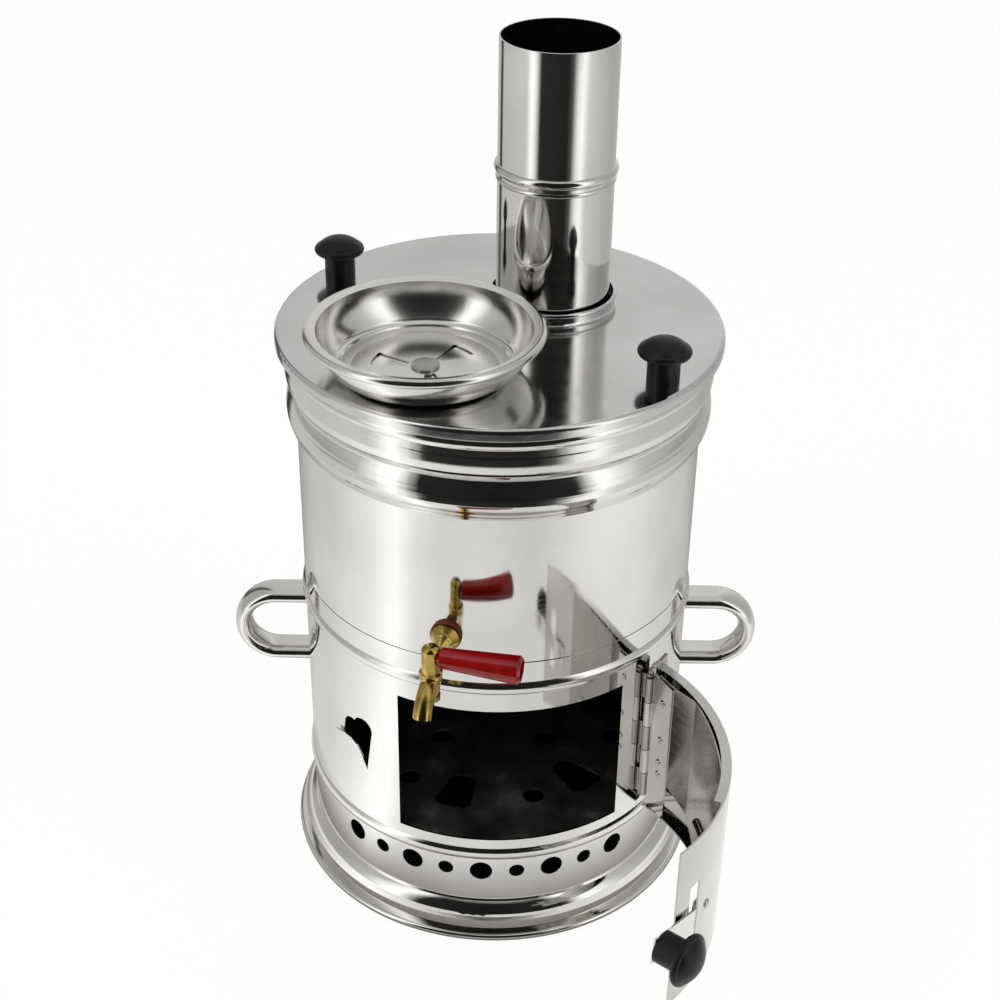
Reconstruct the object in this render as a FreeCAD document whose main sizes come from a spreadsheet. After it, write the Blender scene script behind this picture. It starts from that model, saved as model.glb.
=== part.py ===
import FreeCAD, Part
import math
import os
import Sketcher

os.makedirs("parts", exist_ok=True)

# A charcoal samovar: a round water tank over a firebox, on a flared base with air holes.
# Origin: middle of the base on the ground. X runs through the handles, -Y is the front, +Z is up.
# Azimuths are in degrees: 0 is the front, positive towards +X.

SIZES = [
    ("body_radius", 110.0),
    ("sheet", 1.0),
    ("bead_rise", 1.8),
    ("bead_half", 4.0),
    ("fit_gap", 0.05),
    ("rim_radius", 118.9),
    ("rim_roll", 2.2),
    ("flare_radius", 115.8),
    ("flare_top", 22.0),
    ("flare_low", 14.5),
    ("base_top", 53.5),
    ("vent_height", 44.7),
    ("vent_middle", -3.2),
    ("vent_step", 10.56),
    ("vent_large", 6.4),
    ("vent_small", 4.4),
    ("floor_height", 26.0),
    ("door_low", 68.0),
    ("door_high", 159.4),
    ("door_left", -28.3),
    ("door_right", 39.3),
    ("grate_top", 66.6),
    ("grate_thick", 1.6),
    ("grate_gap", 0.6),
    ("ledge_depth", 6.0),
    ("seam_height", 191.7),
    ("bead_drop", 17.1),
    ("floor_drop", 11.7),
    ("wall_tall", 87.7),
    ("low_hoop_tall", 24.6),
    ("high_hoop_tall", 18.0),
    ("rim_bead_tall", 6.4),
    ("neck_tall", 6.2),
    ("rib_out", 115.0),
    ("rib_waist", 112.2),
    ("neck_radius", 112.4),
    ("lid_thick", 1.2),
    ("lid_radius", 119.4),
    ("lid_skirt", 5.6),
    ("locator_gap", 0.8),
    ("locator_depth", 9.0),
    ("flue_x", 28.2),
    ("flue_y", 27.9),
    ("chimney_radius", 30.85),
    ("chimney_wall", 0.8),
    ("chimney_rise", 146.0),
    ("chimney_drop", 28.6),
    ("chimney_bead_up", 78.0),
    ("chimney_bead_rise", 1.8),
    ("flue_wall", 1.0),
    ("flue_stop", 1.6),
    ("flue_drop", 1.6),
    ("collar_gap", 1.1),
    ("collar_height", 6.4),
    ("knob_x", 82.0),
    ("knob_y", -62.4),
    ("knob_back_x", -89.6),
    ("knob_back_y", 57.4),
    ("knob_cap", 13.7),
    ("knob_stem", 8.4),
    ("knob_height", 22.0),
    ("knob_cap_thick", 9.0),
    ("screw_radius", 2.0),
    ("dish_x", -37.2),
    ("dish_y", -55.5),
    ("dish_radius", 60.8),
    ("dish_floor", 46.0),
    ("dish_height", 24.0),
    ("dish_sheet", 0.8),
    ("dish_lift", 0.3),
    ("dish_roll", 2.4),
    ("sector_in", 9.0),
    ("sector_out", 28.0),
    ("sector_half", 15.5),
    ("rivet_head", 7.2),
    ("rivet_shank", 3.0),
    ("handle_up", 159.0),
    ("handle_low", 118.9),
    ("handle_reach", 153.2),
    ("handle_wide", 9.6),
    ("handle_thick", 4.8),
    ("tap_azimuth", -13.3),
    ("tap_rise", 16.0),
    ("tap_reach", 140.0),
    ("tap_flange", 7.8),
    ("washer_thick", 2.0),
    ("pipe_radius", 4.3),
    ("barrel_radius", 5.9),
    ("plug_radius", 4.7),
    ("plug_stem", 3.0),
    ("plug_up", 14.7),
    ("seat_drop", 2.7),
    ("barrel_tall", 12.4),
    ("lever_up", 7.9),
    ("spout_radius", 4.9),
    ("lever_length", 46.8),
    ("lever_root", 5.4),
    ("lever_tip", 7.4),
    ("hinge_reach", 114.0),
    ("hinge_azimuth", 48.6),
    ("pin_radius", 1.3),
    ("knuckle_radius", 2.6),
    ("hinge_low", 74.0),
    ("hinge_high", 158.0),
    ("door_open", 83.0),
    ("panel_x", 8.2),
    ("panel_y", -12.3),
    ("panel_radius", 107.0),
    ("panel_start", -38.0),
    ("panel_end", -128.0),
    ("panel_low", 61.6),
    ("panel_high", 164.0),
    ("tray_depth", 4.2),
    ("tray_end", -104.0),
    ("latch_angle", -111.6),
    ("latch_height", 108.0),
    ("latch_wide", 14.0),
    ("latch_sheet", 1.0),
    ("slot_low", 91.5),
    ("slot_high", 134.0),
    ("latch_knob_at", 46.0),
    ("latch_tilt", 11.0),
    ("catch_azimuth", -46.0),
    ("catch_low", 95.7),
    ("catch_tall", 34.9),
    ("catch_stand", 2.4),
    ("hinge_rivet", 1.5),
    ("groove", 0.35),
    ("leaf_long", 21.0),
    ("shield_sheet", 0.8),
    ("slot_from", 10.9),
    ("slot_to", 19.8),
    ("through", 20.0),
]

HEIGHTS = [
    ("bead_high", "seam_height - bead_drop"),
    ("tank_floor_height", "seam_height - floor_drop"),
    ("rib_low", "seam_height + wall_tall"),
    ("rib_mid", "rib_low + low_hoop_tall"),
    ("rib_high", "rib_mid + high_hoop_tall"),
    ("tank_rim_top", "rib_high + rim_bead_tall"),
    ("neck_top", "tank_rim_top + neck_tall"),
    ("flue_top", "neck_top - flue_drop"),
    ("chimney_low", "neck_top - chimney_drop"),
    ("chimney_bead", "neck_top + chimney_bead_up"),
    ("chimney_top", "neck_top + chimney_rise"),
    ("tap_height", "seam_height + tap_rise"),
    ("plug_top", "tap_height + plug_up"),
    ("plug_seat", "tap_height - seat_drop"),
    ("barrel_low", "plug_seat - barrel_tall"),
    ("lever_height", "tap_height + lever_up"),
]

doc = FreeCAD.newDocument("Samovar")
sheet = doc.addObject("Spreadsheet::Sheet", "Sizes")
for row, (alias, value) in enumerate(SIZES, 1):
    sheet.set("A%d" % row, alias)
    sheet.set("B%d" % row, str(value))
    sheet.setAlias("B%d" % row, alias)
for row, (alias, text) in enumerate(HEIGHTS, len(SIZES) + 1):
    sheet.set("A%d" % row, alias)
    sheet.set("B%d" % row, "=" + text)
    sheet.setAlias("B%d" % row, alias)
doc.recompute()
size = {alias: float(sheet.get(alias)) for alias, value in SIZES + HEIGHTS}


class Named:
    """The sheet's sizes as attributes."""


d = Named()
for alias in size:
    setattr(d, alias, size[alias])

vec = FreeCAD.Vector
UP = vec(0, 0, 1)
PLAIN = FreeCAD.Rotation()
parts = []


def number(text):
    """The value of a sum of products of sizes and numbers, written with spaces."""
    if not isinstance(text, str):
        return float(text)
    total, product, sign, divide = 0.0, 1.0, 1.0, False
    for word in text.split():
        if word in "+-":
            total += sign * product
            product = 1.0
            sign = 1.0 if word == "+" else -1.0
        elif word in "*/":
            divide = word == "/"
        else:
            factor = size[word] if word in size else float(word)
            product = product / factor if divide else product * factor
            divide = False
    return total + sign * product


def bound(text):
    """The same text as an expression on the sheet."""
    return " ".join("Sizes." + word if word in size else word for word in str(text).split())


def bind(thing, prop, text):
    thing.setExpression(prop, bound(text))


def around(azimuth, reach, height=0.0):
    a = math.radians(azimuth)
    return vec(reach * math.sin(a), -reach * math.cos(a), height)


def polar(angle, reach, x=0.0, y=0.0):
    a = math.radians(angle)
    return (x + reach * math.cos(a), y + reach * math.sin(a))


def origin_plane(body, role):
    return [f for f in body.Origin.OriginFeatures if f.Role == role][0]


def new_body(name):
    return doc.addObject("PartDesign::Body", name)


def sketch_on(body, role):
    sketch = body.newObject("Sketcher::SketchObject", body.Name + "_sketch")
    sketch.AttachmentSupport = [(origin_plane(body, role), "")]
    sketch.MapMode = "FlatFace"
    return sketch


def fix_point(sketch, item, end, x, y):
    """Hold one point of a sketch at two coordinates, each bound to the sheet."""
    for kind, text in (("DistanceX", x), ("DistanceY", y)):
        index = sketch.addConstraint(Sketcher.Constraint(kind, -1, 1, item, end, number(text)))
        if any(word in size for word in str(text).split()):
            bind(sketch, "Constraints[%d]" % index, text)


def outline(sketch, points):
    """A closed outline. A point is (x, y), or (x, y, mid_x, mid_y) where an arc leads to it."""
    count = len(points)
    ends = []
    for i in range(count):
        a, b = points[i], points[(i + 1) % count]
        p = vec(number(a[0]), number(a[1]), 0)
        q = vec(number(b[0]), number(b[1]), 0)
        if len(b) == 4:
            mid = vec(number(b[2]), number(b[3]), 0)
            sketch.addGeometry(Part.Arc(p, mid, q), False)
            ends.append((1, 2) if (mid - p).cross(q - p).z > 0 else (2, 1))
        else:
            sketch.addGeometry(Part.LineSegment(p, q), False)
            ends.append((1, 2))
    for i in range(count):
        before = (i - 1) % count
        first = ends[i][0]
        sketch.addConstraint(Sketcher.Constraint("Coincident", before, ends[before][1], i, first))
        fix_point(sketch, i, first, points[i][0], points[i][1])
    for i in range(count):
        b = points[(i + 1) % count]
        if len(b) == 4:
            point = sketch.addGeometry(Part.Point(vec(number(b[2]), number(b[3]), 0)), True)
            sketch.addConstraint(Sketcher.Constraint("PointOnObject", point, 1, i))
            fix_point(sketch, point, 1, b[2], b[3])


def turned(name, points):
    """A body turned about its own Z axis from an outline of (radius, height) points."""
    body = new_body(name)
    sketch = sketch_on(body, "XZ_Plane")
    outline(sketch, points)
    turn = body.newObject("PartDesign::Revolution", name + "_turn")
    turn.Profile = (sketch, [])
    turn.ReferenceAxis = (sketch, ["V_Axis"])
    turn.Angle = 360
    return body


def cylinder(name, radius, height, place, axis=UP):
    rod = doc.addObject("Part::Cylinder", name)
    rod.Radius = number(radius)
    rod.Height = number(height)
    bind(rod, "Radius", radius)
    bind(rod, "Height", height)
    rod.Placement = FreeCAD.Placement(place, FreeCAD.Rotation(UP, axis))
    return rod


def cut(name, base, tools):
    tool = tools[0]
    if len(tools) > 1:
        tool = doc.addObject("Part::MultiFuse", name + "_tools")
        tool.Shapes = tools
    result = doc.addObject("Part::Cut", name)
    result.Base = base
    result.Tool = tool
    return result


def joined(name, pieces):
    result = doc.addObject("Part::MultiFuse", name)
    result.Shapes = pieces
    return result


def plain_shape(name, shape, place=None):
    thing = doc.addObject("Part::Feature", name)
    thing.Shape = shape
    if place is not None:
        thing.Placement = place
    return thing


def keep(thing, label):
    thing.Label = label
    parts.append(thing)
    return thing


def moved(thing, x, y, turn=0.0):
    thing.Placement = FreeCAD.Placement(vec(x, y, 0), FreeCAD.Rotation(UP, turn))
    return thing


# Base: a band with air holes, a crease, a flare and a rolled rim.

inner = "body_radius - sheet"
base_body = turned("base_body", [
    (inner, "base_top"),
    ("body_radius", "base_top"),
    ("body_radius", "flare_top + 1.6"),
    ("body_radius - 0.4", "flare_top + 0.6"),
    ("body_radius + 0.4", "flare_top - 0.4"),
    ("flare_radius", "flare_low", "body_radius + 4.2", "flare_low + 3.6"),
    ("flare_radius + 0.9", "flare_low - 2.2"),
    ("flare_radius + 1.1", "rim_roll * 2"),
    ("rim_radius", "rim_roll * 2"),
    ("rim_radius", "0", "rim_radius + rim_roll", "rim_roll"),
    ("flare_radius + 0.1", "0"),
    ("flare_radius - 0.1", "flare_low - 2.6"),
    ("flare_radius - 1.0", "flare_low - 0.8"),
    (inner, "flare_top - 1.0", "body_radius + 3.2", "flare_low + 2.6"),
])
vents = []
for i in range(-4, 5):
    wide = "vent_large" if i % 2 == 0 else "vent_small"
    azimuth = d.vent_middle + i * d.vent_step
    start = around(azimuth, d.body_radius - 12.0, d.vent_height)
    vents.append(cylinder("vent_%d" % (i + 5), wide, "24", start, around(azimuth, 1.0)))
keep(cut("base_cut", base_body, vents), "base_shell")

keep(turned("ash_floor", [
    ("0", "floor_height"),
    (inner, "floor_height"),
    (inner, "floor_height + 5.0"),
    ("body_radius - sheet * 2", "floor_height + 5.0"),
    ("body_radius - sheet * 2", "floor_height + sheet"),
    ("0", "floor_height + sheet"),
]), "ash_floor")

# Firebox: a plain cylinder with a bead near each end, a fire door opening and a catch.

firebox_body = turned("firebox_body", [
    (inner, "base_top"),
    ("body_radius", "base_top"),
    ("body_radius", "base_top + bead_half * 2", "body_radius + bead_rise", "base_top + bead_half"),
    ("body_radius", "bead_high - bead_half"),
    ("body_radius", "bead_high + bead_half", "body_radius + bead_rise", "bead_high"),
    ("body_radius", "seam_height - groove"),
    ("body_radius - groove", "seam_height"),
    (inner, "seam_height"),
])


def front_block(name, left, right, low, high, depth):
    """A block that cuts the front wall between two azimuths."""
    block = doc.addObject("Part::Box", name)
    x0 = d.body_radius * math.sin(math.radians(left))
    x1 = d.body_radius * math.sin(math.radians(right))
    block.Length = x1 - x0
    block.Width = depth
    block.Height = number(high) - number(low)
    bind(block, "Height", "%s - %s" % (high, low))
    block.Placement = FreeCAD.Placement(vec(x0, -d.body_radius - 5.0, number(low)), PLAIN)
    return block


opening = front_block("fire_opening", d.door_left, d.door_right, "door_low", "door_high", 70.0)

# The catch: a heart-shaped hole, and the flap that was folded out of it and down over its lower half.


def catch_point(x, share):
    """A point of the catch: how far across it is in millimetres, and its share of the catch's height."""
    return vec(x, 12.0 - d.body_radius, d.catch_low + d.catch_tall * share)


tip = catch_point(11.3, 0.0)
shoulder = catch_point(15.6, 0.81)
high_lobe = catch_point(7.0, 1.0)
notch = catch_point(2.2, 0.885)
low_lobe = catch_point(-6.4, 0.754)
fold_corner = catch_point(-9.4, 0.275)
catch_wire = Part.Wire([
    Part.makeLine(tip, shoulder),
    Part.Arc(shoulder, catch_point(12.9, 0.977), high_lobe).toShape(),
    Part.Arc(high_lobe, catch_point(4.0, 0.965), notch).toShape(),
    Part.Arc(notch, catch_point(-2.4, 0.885), low_lobe).toShape(),
    Part.makeLine(low_lobe, fold_corner),
    Part.makeLine(fold_corner, tip),
])
catch_turn = FreeCAD.Placement(vec(0, 0, 0), FreeCAD.Rotation(UP, d.catch_azimuth))
catch_hole = plain_shape("catch_hole", Part.Face(catch_wire).extrude(vec(0, -24.0, 0)), catch_turn)
rivet_azimuth = d.hinge_azimuth + 8.0
rivet_run = d.hinge_high - d.hinge_low - 16.0
rivet_heights = [d.hinge_low + 8.0 + rivet_run * i / 2.0 for i in range(3)]
rivet_holes = [cylinder("fixed_rivet_hole_%d" % i, "hinge_rivet", "12",
                        around(rivet_azimuth, d.body_radius - 6.0, height), around(rivet_azimuth, 1.0))
               for i, height in enumerate(rivet_heights)]
firebox_cut = cut("firebox_cut", firebox_body, [opening, catch_hole] + rivet_holes)

flap_low = d.catch_low - 1.0
flap_high = d.catch_low + d.catch_tall * 0.6
flap_out = d.body_radius + d.catch_stand
flap_ring = [(d.body_radius - 0.6, flap_low), (d.body_radius + 0.2, flap_low), (flap_out, flap_high),
             (flap_out - 0.8, flap_high)]
flap_face = Part.Face(Part.makePolygon([vec(0, -r, z) for r, z in flap_ring + flap_ring[:1]]))
flap_edge = [catch_point(x, share) for x, share in (
    (11.6, 0.015), (8.9, 0.30), (5.3, 0.467), (1.4, 0.547), (-4.8, 0.547), (-13.6, 0.473), (-13.2, 0.066),
    (-3.2, 0.02))]
flap_cutter = Part.Face(Part.makePolygon(flap_edge + flap_edge[:1])).extrude(vec(0, -24.0, 0))
catch_flap = plain_shape("catch_flap", flap_face.revolve(vec(0, 0, 0), UP, 360).common(flap_cutter), catch_turn)
keep(joined("firebox_joined", [firebox_cut, catch_flap]), "firebox_shell")

# Inside the firebox: a ledge, and a grate with a ring of round and wedge-shaped holes.

keep(turned("grate_ledge", [
    ("body_radius - sheet - ledge_depth", "grate_top - grate_thick - sheet"),
    (inner, "grate_top - grate_thick - sheet"),
    (inner, "grate_top - grate_thick"),
    ("body_radius - sheet - ledge_depth", "grate_top - grate_thick"),
]), "grate_ledge")

grate_body = turned("grate_body", [
    ("0", "grate_top - grate_thick"),
    ("body_radius - sheet - grate_gap", "grate_top - grate_thick"),
    ("body_radius - sheet - grate_gap", "grate_top"),
    ("0", "grate_top"),
])
grate_cuts = []
hole_ring = 74.0
hole_radius = 6.3
for i in range(6):
    azimuth = 18.4 + i * 60.0
    place = around(azimuth, hole_ring, d.grate_top - 6.0)
    grate_cuts.append(cylinder("grate_hole_%d" % i, str(hole_radius), "12", place))
    wedge_azimuth = math.radians(-17.0 + i * 60.0 - 90.0)
    wedge = [(56.0, 4.4), (60.0, 7.4), (80.0, 11.0), (84.0, 8.0), (84.0, -8.0), (80.0, -11.0),
             (60.0, -7.4), (56.0, -4.4)]
    ca, sa = math.cos(wedge_azimuth), math.sin(wedge_azimuth)
    pts = [vec(r * ca - t * sa, r * sa + t * ca, d.grate_top - 6.0) for r, t in wedge]
    prism = Part.Face(Part.makePolygon(pts + pts[:1])).extrude(vec(0, 0, 12))
    grate_cuts.append(plain_shape("grate_wedge_%d" % i, prism))
for i in range(3):
    place = around(60.0 + i * 120.0, 36.0, d.grate_top - 6.0)
    grate_cuts.append(cylinder("grate_inner_%d" % i, str(hole_radius), "12", place))
keep(cut("grate_cut", grate_body, grate_cuts), "fire_grate")

# Tank: floor, flue and the outer shell with its two hoops, rim bead and neck.

flue_bore = "chimney_radius + fit_gap"
flue_outer = "chimney_radius + fit_gap + flue_wall"
floor_body = turned("floor_body", [
    ("0", "tank_floor_height"),
    (inner, "tank_floor_height"),
    (inner, "tank_floor_height + sheet"),
    ("0", "tank_floor_height + sheet"),
])
flue_foot = vec(d.flue_x, d.flue_y, d.tank_floor_height - d.sheet)
flue_hole = cylinder("flue_hole", flue_outer, "sheet * 4", flue_foot)
keep(cut("tank_floor_cut", floor_body, [flue_hole]), "tank_floor")

flue = turned("flue", [
    (flue_bore, "tank_floor_height"),
    (flue_outer, "tank_floor_height"),
    (flue_outer, "flue_top"),
    (flue_bore, "flue_top"),
    (flue_bore, "chimney_low"),
    ("chimney_radius + fit_gap - flue_stop", "chimney_low"),
    ("chimney_radius + fit_gap - flue_stop", "chimney_low - 3.0"),
    (flue_bore, "chimney_low - 4.6"),
])
keep(moved(flue, d.flue_x, d.flue_y), "flue_pipe")

tank_body = turned("tank_body", [
    (inner, "seam_height"),
    ("body_radius - groove", "seam_height"),
    ("body_radius", "seam_height + groove"),
    ("body_radius", "rib_low"),
    ("rib_waist", "rib_mid - 0.4", "rib_out - 0.1", "rib_low * 0.36 + rib_mid * 0.64"),
    ("rib_waist", "rib_mid + 0.4"),
    ("rib_out - 0.4", "rib_high", "rib_out + 0.1", "rib_mid * 0.42 + rib_high * 0.58"),
    ("rib_out - 0.4", "tank_rim_top - 0.2", "rib_out + 1.0", "rib_high * 0.5 + tank_rim_top * 0.5"),
    ("neck_radius", "tank_rim_top"),
    ("neck_radius", "neck_top"),
    ("neck_radius - sheet", "neck_top"),
    ("neck_radius - sheet", "rib_mid + 0.8"),
    ("rib_waist - sheet", "rib_mid - 0.8"),
    (inner, "rib_low + 1.0", "rib_out - sheet - 0.9", "rib_low * 0.40 + rib_mid * 0.60"),
])
tap_hole_from = around(d.tap_azimuth, d.body_radius - 12.0, d.tap_height)
tap_hole = cylinder("tap_hole", "pipe_radius + 0.2", "24", tap_hole_from, around(d.tap_azimuth, 1.0))
keep(cut("tank_cut", tank_body, [tap_hole]), "tank_shell")

# Lid: a disc with a turned-down skirt, a locating ring, a collar round the flue and steam slots.

lid_under = "neck_top"
lid_top = "neck_top + lid_thick"
lid_body = turned("lid_body", [
    ("0", lid_top),
    ("lid_radius - 2.4", lid_top),
    ("lid_radius", "neck_top + lid_thick - 2.4", "lid_radius - 0.7", "neck_top + lid_thick - 0.7"),
    ("lid_radius", "neck_top + lid_thick - lid_skirt"),
    ("lid_radius - 1.0", "neck_top + lid_thick - lid_skirt"),
    ("lid_radius - 1.0", "neck_top - 1.2"),
    ("lid_radius - 2.2", lid_under),
    ("neck_radius - sheet - locator_gap", lid_under),
    ("neck_radius - sheet - locator_gap", "neck_top - locator_depth"),
    ("neck_radius - sheet * 2 - locator_gap", "neck_top - locator_depth"),
    ("neck_radius - sheet * 2 - locator_gap", lid_under),
    ("0", lid_under),
])
collar_inner = "chimney_radius + fit_gap + flue_wall + collar_gap"
collar = turned("collar", [
    (collar_inner, lid_under),
    ("chimney_radius + fit_gap + flue_wall + collar_gap + 3.0", lid_under),
    ("chimney_radius + fit_gap + flue_wall + collar_gap + 3.0", lid_top),
    ("chimney_radius + fit_gap + flue_wall + collar_gap + 0.9", "neck_top + lid_thick + 1.4",
     "chimney_radius + fit_gap + flue_wall + collar_gap + 1.3", "neck_top + lid_thick + 0.4"),
    ("chimney_radius + fit_gap + flue_wall + collar_gap + 0.9", "neck_top + lid_thick + collar_height - 2.2"),
    ("chimney_radius + fit_gap + flue_wall + collar_gap", "neck_top + lid_thick + collar_height",
     "chimney_radius + fit_gap + flue_wall + collar_gap + 1.9", "neck_top + lid_thick + collar_height - 0.5"),
])
moved(collar, d.flue_x, d.flue_y)
lid_hole = cylinder("lid_hole", collar_inner, "20", vec(d.flue_x, d.flue_y, d.neck_top - 10.0))


def sectors(name, middle, low, tall):
    """Three wedge-shaped slots about the dish's axis, as cutting tools."""
    tools = []
    for i in range(3):
        a0 = middle + i * 120.0 - d.sector_half
        a1 = middle + i * 120.0 + d.sector_half
        am = (a0 + a1) / 2
        p = [vec(*polar(a, r), low) for a, r in ((a0, d.sector_in), (am, d.sector_in), (a1, d.sector_in),
                                                 (a1, d.sector_out), (am, d.sector_out), (a0, d.sector_out))]
        wire = Part.Wire([
            Part.Arc(p[0], p[1], p[2]).toShape(),
            Part.makeLine(p[2], p[3]),
            Part.Arc(p[3], p[4], p[5]).toShape(),
            Part.makeLine(p[5], p[0]),
        ])
        prism = Part.Face(wire).extrude(vec(0, 0, tall))
        place = FreeCAD.Placement(vec(d.dish_x, d.dish_y, 0), PLAIN)
        tools.append(plain_shape("%s_%d" % (name, i), prism, place))
    return tools


dish_turn = 45.0
lid_slots = sectors("lid_slot", dish_turn + 60.0, d.neck_top - 2.0, 6.0)
rivet_hole = cylinder("rivet_hole", "rivet_shank", "12", vec(d.dish_x, d.dish_y, d.neck_top - 4.0))
knob_places = [(d.knob_x, d.knob_y), (d.knob_back_x, d.knob_back_y)]
screw_holes = []
for i, (x, y) in enumerate(knob_places):
    screw_foot = vec(x, y, d.neck_top - 6.0)
    screw_holes.append(cylinder("lid_screw_hole_%d" % i, "screw_radius + 0.2", "12", screw_foot))
lid_cut = cut("lid_cut", lid_body, [lid_hole, rivet_hole] + lid_slots + screw_holes)
keep(joined("lid_joined", [lid_cut, collar]), "lid")

# Lid knobs and the screws that hold them from below.


def knob_points(foot):
    """Half the section of a mushroom knob with a blind bore, standing on its foot."""
    return [
        ("screw_radius", foot),
        ("knob_stem", foot),
        ("knob_stem", foot + " + knob_height - knob_cap_thick"),
        ("knob_cap - 1.2", foot + " + knob_height - knob_cap_thick"),
        ("knob_cap - 1.6", foot + " + knob_height - knob_cap_thick + 4.0",
         "knob_cap", foot + " + knob_height - knob_cap_thick + 1.7"),
        ("0.4", foot + " + knob_height", "knob_cap * 0.55", foot + " + knob_height - 1.6"),
        ("0", foot + " + knob_height"),
        ("0", foot + " + knob_height - knob_cap_thick + 1.0"),
        ("screw_radius", foot + " + knob_height - knob_cap_thick + 1.0"),
    ]


screw_points = [
    ("0", "neck_top - 2.4"),
    ("screw_radius * 1.5", "neck_top - 2.4"),
    ("screw_radius * 1.5", "neck_top"),
    ("screw_radius", "neck_top"),
    ("screw_radius", "neck_top + lid_thick + 12.0"),
    ("0", "neck_top + lid_thick + 12.0"),
]
for label, (x, y) in zip(("lid_knob_front", "lid_knob_back"), knob_places):
    knob = turned(label + "_body", knob_points("neck_top + lid_thick"))
    keep(moved(knob, x, y), label)
screws = [moved(turned("screw_%d" % i, screw_points), x, y) for i, (x, y) in enumerate(knob_places)]
pair = doc.addObject("Part::Compound", "screw_pair")
pair.Links = screws
keep(pair, "lid_knob_screws")

# Dish: a shallow bowl that turns on a rivet and opens or shuts the steam slots.

dish_low = "neck_top + lid_thick + dish_lift"
dish_rim = "neck_top + lid_thick + dish_height"
dish_body = turned("dish_body", [
    ("rivet_shank + fit_gap", dish_low),
    ("dish_floor - 8.0", dish_low),
    ("dish_floor + 1.8", dish_low + " + 4.6", "dish_floor - 2.4", dish_low + " + 1.3"),
    ("dish_radius - dish_roll * 2 - 0.8", dish_rim + " - dish_roll * 2",
     "dish_floor + 6.6", dish_low + " + 11.0"),
    ("dish_radius - dish_roll", dish_rim + " - dish_roll * 2"),
    ("dish_radius - dish_roll", dish_rim, "dish_radius", dish_rim + " - dish_roll"),
    ("dish_radius - dish_roll * 2 - 1.6", dish_rim + " - 1.2"),
    ("dish_floor + 0.9", dish_low + " + 4.7",
     "dish_floor + 5.6", dish_low + " + 11.4"),
    ("dish_floor - 2.2", dish_low + " + 2.6", "dish_floor - 0.4", dish_low + " + 3.3"),
    ("dish_floor - 3.0", dish_low + " + 1.7"),
    ("dish_floor - 8.4", dish_low + " + dish_sheet"),
    ("rivet_shank + fit_gap", dish_low + " + dish_sheet"),
])
moved(dish_body, d.dish_x, d.dish_y)
dish_slots = sectors("dish_slot", dish_turn, d.neck_top + d.lid_thick - 2.0, 6.0)
keep(cut("dish_cut", dish_body, dish_slots), "steam_dish")

rivet_base = "neck_top + lid_thick + dish_lift + dish_sheet + 0.1"
rivet = turned("dish_rivet_body", [
    ("0", "neck_top - 1.6"),
    ("rivet_head * 0.8", "neck_top - 1.6"),
    ("rivet_head * 0.8", "neck_top"),
    ("rivet_shank", "neck_top"),
    ("rivet_shank", rivet_base),
    ("rivet_head", rivet_base),
    ("rivet_head", rivet_base + " + 0.9"),
    ("rivet_head - 0.8", rivet_base + " + 1.5"),
    ("0", rivet_base + " + 1.7"),
])
keep(moved(rivet, d.dish_x, d.dish_y), "dish_rivet")

# Chimney: a plain tube that stands on the stop inside the flue, with a bead half way.

chimney_inner = "chimney_radius - chimney_wall"
chimney = turned("chimney", [
    (chimney_inner, "chimney_low"),
    ("chimney_radius", "chimney_low"),
    ("chimney_radius", "chimney_bead - 6.8"),
    ("chimney_radius", "chimney_bead - 4.2", "chimney_radius + chimney_bead_rise * 0.5", "chimney_bead - 5.5"),
    ("chimney_radius", "chimney_bead - 2.6"),
    ("chimney_radius", "chimney_bead + 2.6", "chimney_radius + chimney_bead_rise", "chimney_bead"),
    ("chimney_radius", "chimney_top"),
    ("chimney_radius - chimney_wall", "chimney_top"),
])
keep(moved(chimney, d.flue_x, d.flue_y), "chimney_pipe")

# Handles: a flattened U that springs from the side wall and lies in an upright plane.

body_cylinder = cylinder("body_space", "body_radius", "400", vec(0, 0, 0))


def handle(name, side):
    bend = (d.handle_up - d.handle_low) / 2
    reach = d.handle_reach - d.handle_thick
    root = d.body_radius - 6.0
    high = [vec(side * root, 0, d.handle_up), vec(side * (reach - bend), 0, d.handle_up)]
    low = [vec(side * (reach - bend), 0, d.handle_low), vec(side * root, 0, d.handle_low)]
    tip = vec(side * reach, 0, (d.handle_up + d.handle_low) / 2)
    path = Part.Wire([
        Part.makeLine(high[0], high[1]),
        Part.Arc(high[1], tip, low[0]).toShape(),
        Part.makeLine(low[0], low[1]),
    ])
    section = Part.Ellipse(vec(0, 0, 0), d.handle_wide, d.handle_thick).toShape()
    upright = FreeCAD.Rotation(vec(0, 1, 0), vec(0, 0, 1), vec(1, 0, 0), "XYZ")
    section.Placement = FreeCAD.Placement(high[0], upright)
    sweep = Part.Wire([section])
    solid = path.makePipeShell([sweep], True, True)
    loop = plain_shape(name + "_loop", Part.Solid(solid) if solid.ShapeType == "Shell" else solid)
    return cut(name + "_cut", loop, [body_cylinder])


keep(handle("handle_r", 1), "handle_right")
keep(handle("handle_l", -1), "handle_left")

# Tap: fibre washer, brass body with flange, pipe, barrel and spout, a plug and a red lever.

out = around(d.tap_azimuth, 1.0)
side = vec(-out.y, out.x, 0)


def along(reach, height=None):
    return around(d.tap_azimuth, reach, d.tap_height if height is None else height)


def radial_turned(points):
    """A solid of revolution about the tap's pipe, from (reach, radius) points."""
    face = Part.Face(Part.makePolygon([vec(r, 0, t) for t, r in points + points[:1]]))
    solid = face.revolve(vec(0, 0, 0), UP, 360)
    solid.Placement = FreeCAD.Placement(along(0.0), FreeCAD.Rotation(UP, out))
    return solid


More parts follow.
